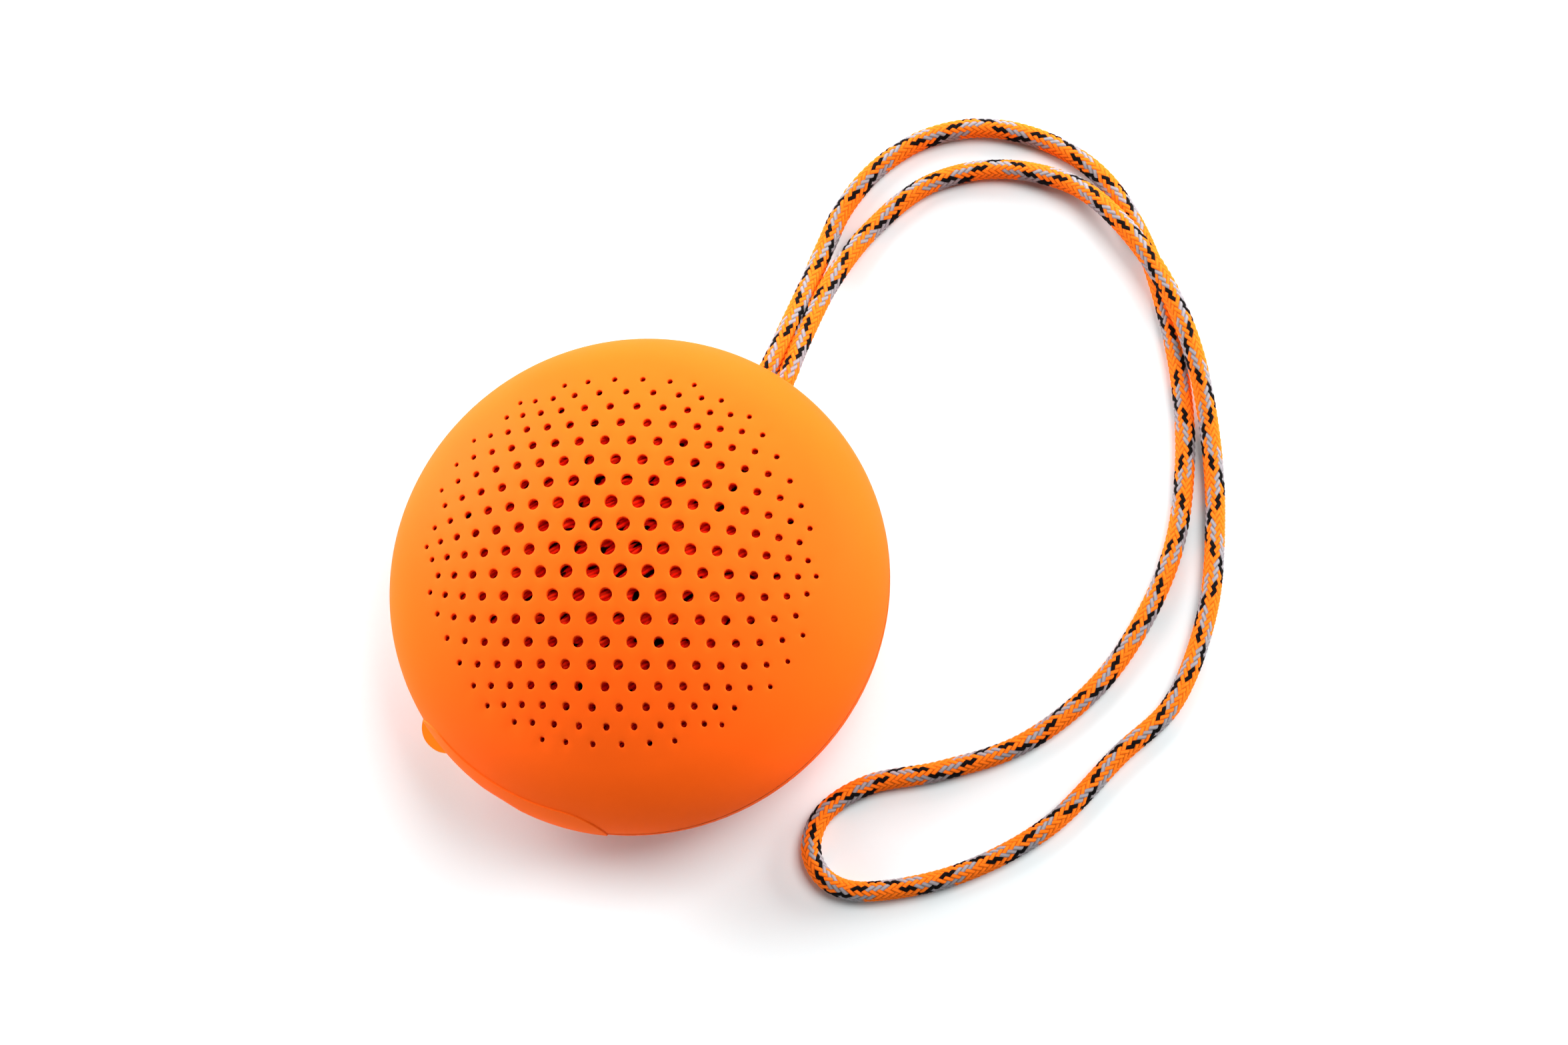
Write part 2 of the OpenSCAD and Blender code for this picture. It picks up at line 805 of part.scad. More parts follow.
module cord_anchor() {
    color([0.15, 0.15, 0.16]) difference() {
        translate([cord_x - anchor_half_w, anchor_y[0], anchor_z])
            cube([2 * anchor_half_w, anchor_y[1] - anchor_y[0], anchor_h]);
        strand_oval(cord_d / 2 + 0.05, socket_y, anchor_y[1] + 1);
        for (side = [-1, 1]) translate([cord_x + side * anchor_screw_at, 33, anchor_z - 1])
            cylinder(r = ANCHOR_SCREW[2] + 0.15, h = anchor_h + 2);
    }
}

module anchor_screws() {
    for (side = [-1, 1]) translate([cord_x + side * anchor_screw_at, 33, anchor_z + anchor_h])
        screw(ANCHOR_SCREW);
}

module cord_grommet() {
    color(RUBBER) difference() {
        strand_oval(2.6, grommet_y[0], grommet_y[1]);
        strand_oval(cord_d / 2 + 0.1, grommet_y[0] - 1, grommet_y[1] + 1);
    }
}

module lanyard_cord() {
    color([1, 0.55, 0.15]) sweep(ROUTE, cord_d, 80, [0, 0, 1]);
}

front_shell();
rear_shell();
shell_gasket();
grille_liner();
rear_foot();
base_pad();
shell_screws();
baffle();
baffle_screws();
driver_gasket();
driver_basket();
driver_surround();
driver_cone();
dust_cap();
voice_coil();
spider();
top_plate();
magnet();
yoke();
driver_terminal();
driver_screws();
driver_lead();
main_board();
radio_module();
board_connectors();
board_screws();
power_switch();
play_switch();
volume_down_switch();
volume_up_switch();
microphone();
status_led();
light_pipe();
battery_pad();
battery();
battery_lead();
port_board();
port_screws();
usb_socket();
port_lead();
power_button();
play_button();
volume_down_button();
volume_up_button();
port_flap();
flap_pin();
cord_anchor();
anchor_screws();
cord_grommet();
lanyard_cord();
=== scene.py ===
"""Looks of the round portable speaker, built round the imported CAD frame.

The frame is in metres: z = 0 is the plane that the rear foot rests on, +Z goes out through the
perforated dome, +Y towards the carrying loop and -Y towards the padded standing base.
"""

import json
import math

import bpy
import numpy as np
from mathutils import Matrix, Vector, noise
from mathutils.geometry import delaunay_2d_cdt


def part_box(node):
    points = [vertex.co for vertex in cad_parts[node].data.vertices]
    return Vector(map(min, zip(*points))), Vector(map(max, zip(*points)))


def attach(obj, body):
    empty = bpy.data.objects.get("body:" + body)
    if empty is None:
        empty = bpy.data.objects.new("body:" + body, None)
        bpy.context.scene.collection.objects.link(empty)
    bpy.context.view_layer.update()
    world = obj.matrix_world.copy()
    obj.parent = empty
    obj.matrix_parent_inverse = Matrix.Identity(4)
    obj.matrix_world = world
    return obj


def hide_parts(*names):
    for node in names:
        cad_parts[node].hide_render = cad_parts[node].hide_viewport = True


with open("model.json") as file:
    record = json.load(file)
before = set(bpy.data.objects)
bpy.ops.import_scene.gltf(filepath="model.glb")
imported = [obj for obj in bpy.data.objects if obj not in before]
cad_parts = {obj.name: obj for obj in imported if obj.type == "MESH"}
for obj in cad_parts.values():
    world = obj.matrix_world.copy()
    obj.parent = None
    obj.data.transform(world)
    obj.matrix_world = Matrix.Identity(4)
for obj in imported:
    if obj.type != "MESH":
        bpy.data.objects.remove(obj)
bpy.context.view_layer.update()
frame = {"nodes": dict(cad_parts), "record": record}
nodes = frame["nodes"]
MM = 0.001

# ---- Driving dimensions, in metres; the body, the holes and the cord's route match part.scad ----

BODY_R = 44 * MM
BODY_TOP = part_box("front_shell")[1].z
WAIST_Z = 18 * MM
WALL = 2 * MM
GRILLE_WALL = 1.2 * MM
DOME_RISE = BODY_TOP - WAIST_Z
DOME_SHOULDER = 18 * MM
FRONT_RIM_Z = 17.8 * MM

# The sound holes stand on a six-sided lattice and fill an oval, whose half-widths PATTERN_X and
# PATTERN_Y are counted in holes. Outwards they shrink by HOLE_D_STEP from one hole to the next. At
# HOLE_RINGS out they are crowded by HOLE_CROWDING and turned by up to HOLE_GATHER. HOLE_LIP is the
# radius of a hole's rounded lip.
HOLE_PITCH = 4.7 * MM
HOLE_D = 2.7 * MM
HOLE_D_STEP = 0.22 * MM
HOLE_CROWDING = 0.15
HOLE_GATHER = math.radians(2.8)
HOLE_RINGS = 8.5
PATTERN_X, PATTERN_Y = 8.74, 8.18
HOLE_LIP = 0.16 * MM

# The cord's centreline, in millimetres. Both ends start in the anchor block, EXIT_Z above the floor,
# run straight as far as STRAIGHT_Y and leave the body. LIE_Z is the centreline's height
# where the cord lies on the floor.
CORD_LEFT = -3.3
CORD_RIGHT = 0.3
ANCHOR_Y = 31.7
STRAIGHT_Y = 38
EXIT_Z = 11
LIE_Z = 1.75
CORD_ROUTE = [
    (CORD_LEFT, ANCHOR_Y, EXIT_Z), (CORD_LEFT, STRAIGHT_Y, EXIT_Z), (-3.6, 45, 10.8), (-5.4, 54, 8.6),
    (-7.6, 63, 5.2), (-9.8, 72, 2.5), (-11, 80, LIE_Z), (-9.6, 89.5, LIE_Z), (-5, 98.5, LIE_Z),
    (3.5, 105.5, LIE_Z), (15, 108.6, LIE_Z), (27, 107.5, LIE_Z), (39, 101.2, LIE_Z),
    (50, 91.6, LIE_Z), (59.5, 81, LIE_Z), (67.5, 69, LIE_Z), (73.6, 55, LIE_Z),
    (75.8, 40, LIE_Z), (74.6, 26, LIE_Z), (69, 12, LIE_Z), (59.5, 1, LIE_Z),
    (50, -7.5, LIE_Z), (45.8, -16, LIE_Z), (47.5, -22.8, LIE_Z), (53.5, -25.7, LIE_Z),
    (61, -22.8, LIE_Z), (72, -12.5, LIE_Z), (80.6, 2, LIE_Z), (84.6, 19, LIE_Z),
    (87.8, 32, LIE_Z), (84.5, 48.5, LIE_Z), (77, 63.5, LIE_Z), (68.2, 76.3, 2.6),
    (58, 87.6, 4.8), (46.5, 96, 5.3), (33.5, 101.6, 5.3), (22, 103.4, 3.2), (9.5, 99.8, LIE_Z),
    (0, 91, LIE_Z), (-4.4, 78.5, 2), (-4.6, 66, 4.6), (-2.2, 54, 8.4), (0.1, 45, 10.8),
    (CORD_RIGHT, STRAIGHT_Y, EXIT_Z), (CORD_RIGHT, ANCHOR_Y, EXIT_Z),
]

# CARRIERS yarns run each way round the cord. BRAID_STEP is one yarn's share of its length, and
# BRAID_RELIEF the depth between the yarns.
CORD_D = 3.5 * MM
CARRIERS = 12
BRAID_STEP = 1.3 * MM
BRAID_RELIEF = 0.22 * MM

# ---- Camera: the photograph's viewing angle ----

CAMERA_AZIMUTH, CAMERA_ELEVATION, CAMERA_ROLL = 64.33, 71.906, -32.923
CAMERA_AIM = Vector((15.7, 22.5, 16.6)) * MM
CAMERA_DISTANCE = 700 * MM
CAMERA_LENS = 92.5
CAMERA_CLIP = 10 * MM


def add_camera():
    a, e = math.radians(CAMERA_AZIMUTH), math.radians(CAMERA_ELEVATION)
    back = Vector((math.sin(a) * math.cos(e), -math.cos(a) * math.cos(e), math.sin(e)))
    roll = Matrix.Rotation(math.radians(CAMERA_ROLL), 3, "Z")
    camera = bpy.data.objects.new("camera", bpy.data.cameras.new("camera"))
    camera.data.lens = CAMERA_LENS
    camera.data.clip_start = CAMERA_CLIP
    camera.rotation_mode = "QUATERNION"
    camera.rotation_quaternion = (
        (-back).to_track_quat("-Z", "Y").to_matrix() @ roll
    ).to_quaternion()
    camera.location = CAMERA_AIM + back * CAMERA_DISTANCE
    bpy.context.scene.collection.objects.link(camera)
    bpy.context.scene.camera = camera


# ---- Small helpers ----


def mesh_object(name, points, faces, smooth=True):
    mesh = bpy.data.meshes.new(name)
    mesh.from_pydata([tuple(p) for p in points], [], [tuple(f) for f in faces])
    if smooth:
        mesh.shade_smooth()
    made = bpy.data.objects.new(name, mesh)
    bpy.context.scene.collection.objects.link(made)
    return made


# ---- Materials ----

# First value socket and result socket of a Mix node, for each kind of value
MIX_SOCKETS = {"FLOAT": (2, 0), "RGBA": (6, 2)}


class Tree:
    """A material's node tree, with one short call for each kind of node."""

    def __init__(self, name):
        self.material = bpy.data.materials.new(name)
        self.material.use_nodes = True
        self.nodes = self.material.node_tree.nodes
        self.links = self.material.node_tree.links
        self.shader = self.nodes["Principled BSDF"]

    def node(self, kind, inputs=(), **settings):
        made = self.nodes.new(kind)
        for key, value in settings.items():
            setattr(made, key, value)
        for socket, value in dict(inputs).items():
            if isinstance(value, bpy.types.NodeSocket):
                self.links.new(value, made.inputs[socket])
            else:
                made.inputs[socket].default_value = value
        return made

    def math(self, operation, *values):
        return self.node("ShaderNodeMath", dict(enumerate(values)), operation=operation).outputs[0]

    def position(self):
        return self.node("ShaderNodeTexCoord").outputs["Object"]

    def noise(self, scale, detail=2.0, roughness=0.5, vector=None):
        where = self.position() if vector is None else vector
        inputs = {"Vector": where, "Scale": scale, "Detail": detail, "Roughness": roughness}
        return self.node("ShaderNodeTexNoise", inputs).outputs["Fac"]

    def between(self, value, low, high):
        inputs = {"Value": value, "To Min": low, "To Max": high}
        return self.node("ShaderNodeMapRange", inputs).outputs["Result"]

    def ramp(self, value, stops, interpolation="LINEAR"):
        made = self.node("ShaderNodeValToRGB", {"Fac": value})
        elements = made.color_ramp.elements
        made.color_ramp.interpolation = interpolation
        while len(elements) < len(stops):
            elements.new(0.5)
        for element, (at, colour) in zip(elements, stops):
            element.position = at
            element.color = (*colour, 1)
        return made.outputs["Color"]

    def mix(self, factor, low, high, kind="FLOAT"):
        """The low value where the factor is 0, and the high one where it is 1."""
        value, result = MIX_SOCKETS[kind]
        inputs = {"Factor": factor, value: low, value + 1: high}
        return self.node("ShaderNodeMix", inputs, data_type=kind).outputs[result]

    def shaded(self, colour, shade):
        """The colour, darkened or lightened by the shade."""
        inputs = {0: colour, "Scale": shade}
        return self.node("ShaderNodeVectorMath", inputs, operation="SCALE").outputs[0]

    def bump(self, height, distance, strength=1.0):
        inputs = {"Height": height, "Distance": distance, "Strength": strength}
        self.set("Normal", self.node("ShaderNodeBump", inputs).outputs["Normal"])

    def set(self, socket, value):
        if isinstance(value, bpy.types.NodeSocket):
            self.links.new(value, self.shader.inputs[socket])
        else:
            self.shader.inputs[socket].default_value = value


def scaled(colour, by):
    return tuple(min(1.0, c * by) for c in colour)


GLOSS_VARY = 0.07


def surface(name, colour, roughness, grain, depth, metallic=0.0, specular=0.5, vary=0.08, patch=120):
    """A finished surface: slow variation in colour and gloss, and a fine grain.

    grain is the size of the grain in metres, depth its height, and patch the number of slow
    patches to a metre.
    """
    tree = Tree(name)
    slow = tree.noise(patch, 3)
    fine = tree.noise(1 / grain, 3, 0.6)
    tree.set("Base Color", tree.ramp(slow, [
        (0.3, scaled(colour, 1 - vary)), (0.7, scaled(colour, 1 + vary)),
    ]))
    tree.set("Roughness", tree.between(fine, roughness - GLOSS_VARY, roughness + GLOSS_VARY))
    tree.set("Metallic", metallic)
    tree.set("Specular IOR Level", specular)
    tree.bump(fine, depth)
    return tree


# Linear colours of the parts that are seen
ORANGE = (0.97, 0.112, 0.006)
DEEP_ORANGE = (0.8, 0.07, 0.004)
FLAP_ORANGE = (0.97, 0.29, 0.012)
PAD_ORANGE = (0.97, 0.125, 0.008)
CORD_ORANGE = (0.95, 0.17, 0.008)
CORD_GREY = (0.28, 0.255, 0.27)
CORD_BLACK = (0.004, 0.003, 0.003)
# The liner's colours by fold height: painted shade, black in the lowest folds and darker red in the low
# ones, the cloth's own red in the middle, and painted light on the fold tops.
FOLD_PAINTED_SHADE = (0.004, 0.001, 0.001)
FOLD_PAINTED_HALF_SHADE = (0.85, 0.008, 0.001)
FOLD_MIDDLE = (1.0, 0.012, 0.001)
FOLD_PAINTED_LIGHT = (1.0, 0.035, 0.004)
FLOOR_WHITE = (0.77, 0.815, 0.825)


def soft_touch(name, colour):
    """Rubbery paint on plastic: almost no shine, with a very fine tooth."""
    tree = surface(name, colour, 0.62, 0.11 * MM, 0.004 * MM, specular=0.03, vary=0.025, patch=60)
    return tree.material


def steel(name, colour=(0.55, 0.56, 0.58), roughness=0.34):
    """Turned or stamped steel: grain drawn out along one direction."""
    tree = surface(name, colour, roughness, 0.2 * MM, 0.002 * MM, metallic=1.0)
    stretched = tree.node("ShaderNodeMapping", {"Vector": tree.position(), "Scale": (1, 1, 14)})
    brushed = tree.noise(900, 3, 0.6, stretched.outputs["Vector"])
    tree.bump(brushed, 0.004 * MM, 0.6)
    return tree.material


def rubber(name, colour, roughness=0.72):
    return surface(name, colour, roughness, 0.09 * MM, 0.008 * MM, specular=0.3).material


def plastic(name, colour, roughness=0.45):
    return surface(name, colour, roughness, 0.16 * MM, 0.006 * MM, specular=0.4).material


def circuit_board(name):
    """Green mask over copper tracks: a grid of fine raised lines."""
    mask, mask_dark, track = (0.012, 0.13, 0.05), (0.008, 0.09, 0.035), (0.03, 0.25, 0.1)
    tree = surface(name, mask, 0.3, 0.2 * MM, 0.002 * MM)
    brick = {"Vector": tree.position(), "Scale": 240.0, "Mortar Size": 0.03,
             "Color1": (*mask, 1), "Color2": (*mask_dark, 1), "Mortar": (*track, 1)}
    tracks = tree.node("ShaderNodeTexBrick", brick)
    tree.set("Base Color", tracks.outputs["Color"])
    tree.bump(tracks.outputs["Fac"], 0.03 * MM, 0.5)
    tree.set("Coat Weight", 0.4)
    return tree.material


def woven(name, colour, pitch, roughness=0.85):
    """Plain weave of threads at the given pitch."""
    tree = surface(name, colour, roughness, pitch / 3, 0.01 * MM, specular=0.2)
    waves = []
    for direction in ("X", "Y"):
        wave = {"Vector": tree.position(), "Scale": 1 / pitch / math.tau, "Distortion": 0.4}
        waves.append(tree.node("ShaderNodeTexWave", wave, bands_direction=direction).outputs["Fac"])
    tree.bump(tree.math("MULTIPLY", *waves), 0.08 * MM, 0.8)
    return tree.material


# ---- Braided cord ----


def catmull(points, per_span):
    """Points on the smooth curve through the route, close enough together to measure it."""
    route = [Vector(p) * MM for p in points]
    ends = [route[0]] + route + [route[-1]]
    made = []
    for a, b, c, d in zip(ends, ends[1:], ends[2:], ends[3:]):
        for step in range(per_span):
            t = step / per_span
            made.append(0.5 * (
                2 * b + (c - a) * t + (2 * a - 5 * b + 4 * c - d) * t * t
                + (3 * b - a - 3 * c + d) * t ** 3
            ))
    return made + [route[-1]]


def evenly(points, spacing):
    """The same line at points an equal distance apart, about spacing."""
    line = np.array(points)
    along = np.concatenate([[0], np.cumsum(np.linalg.norm(np.diff(line, axis=0), axis=1))])
    count = int(round(along[-1] / spacing))
    at = np.linspace(0, along[-1], count + 1)
    return np.stack([np.interp(at, along, line[:, k]) for k in range(3)], axis=1), along[-1]


# The rings of the cord's mesh hold every second place around it, turn about, so that the faces are
# diamonds that run with the yarns. A yarn is YARN_STEPS places wide and YARN_STEPS rings long.
YARN_STEPS = 4
AROUND = YARN_STEPS * CARRIERS
PER_RING = AROUND // 2
ROUND_HEIGHT = 0.85
FLOOR_GAP = 0.03 * MM
BESIDE = 0.01


def on_top(cell_a, cell_b):
    """True where a yarn of the first direction passes over: two over, two under."""
    return (cell_a + cell_b) % 4 < 2


def yarn_height(a, b):
    """Relief of the braid, 0 to 1, at places a and b counted in yarns of the two directions."""
    height = 0.0
    for near_a in (a - BESIDE, a + BESIDE):
        for near_b in (b - BESIDE, b + BESIDE):
            over = on_top(math.floor(near_a), math.floor(near_b))
            across = (near_a if over else near_b) % 1
            height += math.sin(math.pi * across) / 4
    return height


def place_around(k, ring):
    """Where point k of a ring stands, counted in AROUND places from the side of the cord."""
    return 2 * k + ring % 2


def unit_rows(vectors):
    return vectors / np.linalg.norm(vectors, axis=1)[:, None]


def braid_points(centres):
    """Rings of points round the centreline; yarns of ROUND_HEIGHT lie at the cord's own radius."""
    ahead = unit_rows(np.gradient(centres, axis=0))
    side = unit_rows(np.cross([0, 0, 1], ahead))
    rise = np.cross(ahead, side)
    points = []
    for ring, centre in enumerate(centres):
        for k in range(PER_RING):
            u = place_around(k, ring)
            height = yarn_height((u + ring) / YARN_STEPS, (u - ring) / YARN_STEPS)
            radius = CORD_D / 2 - BRAID_RELIEF * (ROUND_HEIGHT - height)
            angle = math.tau * u / AROUND
            out = math.cos(angle) * side[ring] + math.sin(angle) * rise[ring]
            points.append(centre + radius * out)
    return points


def braid_faces(rings):
    """Diamonds and two end caps, with the place and the ring of every corner."""
    faces, corners = [], []
    for ring in range(rings - 2):
        for k in range(PER_RING):
            u = place_around(k, ring)
            right = ((u + 1) % AROUND) // 2
            left = ((u - 1) % AROUND) // 2
            faces.append((
                ring * PER_RING + k, (ring + 1) * PER_RING + right,
                (ring + 2) * PER_RING + k, (ring + 1) * PER_RING + left,
            ))
            corners += [(u, ring), (u + 1, ring + 1), (u, ring + 2), (u - 1, ring + 1)]
    for pair in ((1, 0), (rings - 2, rings - 1)):
        loop = sorted(
            (place_around(k, ring), ring * PER_RING + k) for ring in pair for k in range(PER_RING)
        )
        faces.append([index for u, index in loop])
        corners += [(0, 0)] * len(loop)
    return faces, corners


def add_cord():
    """A tube whose mesh follows the crossings of the braid, so that each stitch stands proud."""
    centres, length = evenly(catmull(CORD_ROUTE, per_span=40), BRAID_STEP / YARN_STEPS)
    centres[:, 2] = np.maximum(centres[:, 2], CORD_D / 2 + FLOOR_GAP)
    faces, corners = braid_faces(len(centres))
    cord = mesh_object("braided_cord", braid_points(centres), faces)
    uv = cord.data.uv_layers.new(name="braid")
    flat = np.array([(u / AROUND, ring * BRAID_STEP / YARN_STEPS) for u, ring in corners], float)
    uv.data.foreach_set("uv", flat.ravel())
    cord.data.materials.append(braid_material())
    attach(cord, "housing")
    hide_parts("lanyard_cord")


def braid_material():
    """Orange yarns with two black and three grey ones in each direction, over and under in twos.

    The two directions are mirrored, so that black comes before grey along the cord in both.
    """
    tree = Tree("braided_yarn")
    braid_uv = tree.node("ShaderNodeUVMap", uv_map="braid").outputs[0]
    place = tree.node("ShaderNodeSeparateXYZ", {0: braid_uv})
    turns = tree.math("MULTIPLY", place.outputs[0], CARRIERS)
    steps = tree.math("DIVIDE", place.outputs[1], BRAID_STEP)
    yarns = {"a": tree.math("ADD", turns, steps), "b": tree.math("SUBTRACT", turns, steps)}
    cells = {key: tree.math("FLOOR", value) for key, value in yarns.items()}
    across = {key: tree.math("FRACT", value) for key, value in yarns.items()}
    both = tree.math("FLOORED_MODULO", tree.math("ADD", cells["a"], cells["b"]), 4.0)
    over = tree.math("LESS_THAN", both, 1.5)
    colours = {}
    for key in yarns:
        number = tree.math("FLOORED_MODULO", cells[key], float(CARRIERS))
        share = tree.math("DIVIDE", tree.math("ADD", number, 0.5), float(CARRIERS))
        if key == "b":
            share = tree.math("SUBTRACT", 1.0, share)
        colours[key] = tree.ramp(share, [
            (0, CORD_BLACK), (2 / CARRIERS, CORD_GREY), (5 / CARRIERS, CORD_ORANGE),
        ], "CONSTANT")
    shown = tree.mix(over, colours["b"], colours["a"], "RGBA")
    on_yarn = tree.mix(over, across["b"], across["a"])
    middle = tree.math("SINE", tree.math("MULTIPLY", on_yarn, math.pi))
    fibres = tree.math("SINE", tree.math("MULTIPLY", on_yarn, 40.0))
    # Painted shade darkens each yarn towards its edges, and a painted highlight lifts its middle above its
    # own colour.
    shade = tree.between(tree.math("POWER", middle, 0.5), 0.2, 1.12)
    tree.set("Base Color", tree.shaded(shown, shade))
    tree.set("Roughness", 0.7)
    tree.set("Specular IOR Level", 0.05)
    relief = tree.math("ADD", middle, tree.math("MULTIPLY", fibres, 0.12))
    tree.bump(relief, 0.1 * MM, 0.7)
    return tree.material


# ---- Front shell with its sound holes ----


def arc_from(rise, shoulder):
    """Crown radius and crown centre height of a rounded shell, and where its two arcs meet."""
    at = BODY_R - shoulder
    crown = (at ** 2 + rise ** 2 - shoulder ** 2) / (2 * (rise - shoulder))
    lean = math.atan2(at, crown - rise)
    return crown, rise - crown, lean


CROWN_R, CROWN_LOW, CROWN_LEAN = arc_from(DOME_RISE, DOME_SHOULDER)


def crown_z(x, y, inset=0.0):
    """Height of the dome above the plane z = 0, at a place within its crown."""
    return WAIST_Z + CROWN_LOW + math.sqrt((CROWN_R - inset) ** 2 - x * x - y * y)


LATTICE_ROWS = 9
LATTICE_COLUMNS = 12


def sound_holes():
    """Centre and radius of each hole of the six-sided lattice that the pattern keeps."""
    holes = []
    for j in range(-LATTICE_ROWS, LATTICE_ROWS + 1):
        for i in range(-LATTICE_COLUMNS, LATTICE_COLUMNS + 1):
            x, y = i + j / 2, j * math.sqrt(3) / 2
            steps = math.hypot(x, y)
            a = math.atan2(y, x)
            tilt = a + math.radians(30)
            kept = (steps * math.cos(tilt) / PATTERN_X) ** 2 + (steps * math.sin(tilt) / PATTERN_Y) ** 2
            if kept > 1:
                continue
            outward = steps / HOLE_RINGS
            turned = tilt - HOLE_GATHER * outward ** 4 * math.sin(6 * a)
            r = HOLE_PITCH * steps * (1 - HOLE_CROWDING * outward ** 2)
            holes.append((r * math.cos(turned), r * math.sin(turned), (HOLE_D - HOLE_D_STEP * steps) / 2))
    return holes


HOLES = sound_holes()
HOLE_SIDES = 28
LIP_STEPS = 3

# FIELD_R is the edge of the hole field with its thinner wall. Loose points stand between the holes
# in rows, FIELD_STEP apart within a row.
FIELD_R = 35.4 * MM
FIELD_STEP = 1.1 * MM
ROW_STEP = 0.866 * FIELD_STEP

TURN_STEPS = 240
CROWN_STEPS = 8
SHOULDER_STEPS = 44

# The rim's rounded edge stays a hair inside the body's radius.
SHELL_EDGE = 0.12 * MM
RIM_R = BODY_R - 0.001 * MM


def perforated_field():
    """Triangles between the holes, as places on a plane, with each hole's loop of points."""
    places, edges, loops = [], [], []

    def add_loop(points):
        first = len(places)
        places.extend(points)
        loop = list(range(first, len(places)))
        edges.extend(zip(loop, loop[1:] + loop[:1]))
        return loop

    rim = add_loop([
        Vector((FIELD_R * math.cos(t), FIELD_R * math.sin(t)))
        for t in np.linspace(0, math.tau, TURN_STEPS, endpoint=False)
    ])
    for x, y, r in HOLES:
        loops.append(add_loop([
            Vector((x + (r + HOLE_LIP) * math.cos(t), y + (r + HOLE_LIP) * math.sin(t)))
            for t in np.linspace(0, math.tau, HOLE_SIDES, endpoint=False)
        ]))
    centres = np.array([(x, y) for x, y, r in HOLES])
    reach = np.array([r + HOLE_LIP for x, y, r in HOLES])
    rows = int(FIELD_R / FIELD_STEP) + 1
    for j in range(-rows, rows + 1):
        for i in range(-rows, rows + 1):
            x, y = (i + (j % 2) / 2) * FIELD_STEP, j * ROW_STEP
            off_lips = np.hypot(centres[:, 0] - x, centres[:, 1] - y) - reach
            off_rim = FIELD_R - math.hypot(x, y)
            if off_lips.min() > 0.35 * FIELD_STEP and off_rim > 0.6 * FIELD_STEP:
                places.append(Vector((x, y)))
    triangles, came_from = delaunay_2d_cdt(places, edges, [], 0, 1e-9)[2:4]
    source = [ids[0] for ids in came_from]
    owner = {index: k for k, loop in enumerate(loops) for index in loop}
    kept = []
    for triangle in triangles:
        ids = [source[v] for v in triangle]
        owners = {owner.get(v) for v in ids}
        inside_hole = len(owners) == 1 and None not in owners
        if not inside_hole:
            kept.append(ids)
    return places, kept, rim, loops


def shell_profile(inset, first_r, low_z):
    """Radius and height from the edge of the hole field over the shoulder to the rim."""
    made = []
    crown = CROWN_R - inset
    start = math.asin(first_r / crown)
    for k in range(1, CROWN_STEPS + 1):
        t = start + (CROWN_LEAN - start) * k / CROWN_STEPS
        made.append((crown * math.sin(t), WAIST_Z + CROWN_LOW + crown * math.cos(t)))
    shoulder = DOME_SHOULDER - inset
    centre = BODY_R - DOME_SHOULDER
    end = math.pi / 2 + math.asin((WAIST_Z - low_z) / shoulder)
    for k in range(1, SHOULDER_STEPS + 1):
        t = CROWN_LEAN + (end - CROWN_LEAN) * k / SHOULDER_STEPS
        made.append((centre + shoulder * math.sin(t), WAIST_Z + shoulder * math.cos(t)))
    return made


def rim_edge():
    """Rounded edge between the shell's outer face and its rim, as radius and height."""
    made = []
    for step in range(1, LIP_STEPS + 1):
        t = math.pi / 2 * step / LIP_STEPS
        made.append((RIM_R - SHELL_EDGE * (1 - math.cos(t)), FRONT_RIM_Z + SHELL_EDGE * (1 - math.sin(t))))
    return made


class Skin:
    """Points and faces of one closed skin, built up from rings of points."""

    def __init__(self, points, faces):
        self.points = points
        self.faces = faces

    def ring(self, places):
        """Adds the places and returns their numbers."""
        first = len(self.points)
        self.points.extend(places)
        return list(range(first, len(self.points)))

    def revolved(self, profile):
        """Adds a ring for each radius and height of the profile."""
        turns = [math.tau * k / TURN_STEPS for k in range(TURN_STEPS)]
        return [self.ring([(r * math.cos(t), r * math.sin(t), z) for t in turns]) for r, z in profile]

    def strip(self, upper, lower):
        """Faces between two rings."""
        for k in range(len(upper)):
            n = (k + 1) % len(upper)
            self.faces.append((upper[k], lower[k], lower[n], upper[n]))

    def strips(self, rings, facing_out):
        """Faces between all neighbouring rings of a row."""
        for first, second in zip(rings, rings[1:]):
            if facing_out:
                self.strip(first, second)
            else:
                self.strip(second, first)


def add_hole_wall(skin, hole, outer_loop, inner_loop):
    """Rounded lip and straight wall of one sound hole."""
    x, y, r = hole

    def ring_at(radius, drop, inset=0.0):
        places = []
        for k in range(HOLE_SIDES):
            t = math.tau * k / HOLE_SIDES
            px, py = x + radius * math.cos(t), y + radius * math.sin(t)
            places.append((px, py, crown_z(px, py, inset) - drop))
        return skin.ring(places)

    rings = [outer_loop]
    for k in range(1, LIP_STEPS + 1):
        t = math.pi / 2 * k / LIP_STEPS
        rings.append(ring_at(r + HOLE_LIP * (1 - math.sin(t)), HOLE_LIP * (1 - math.cos(t))))
    rings.append(ring_at(r, -HOLE_LIP, GRILLE_WALL))
    rings.append(inner_loop)
    skin.strips(rings, facing_out=False)


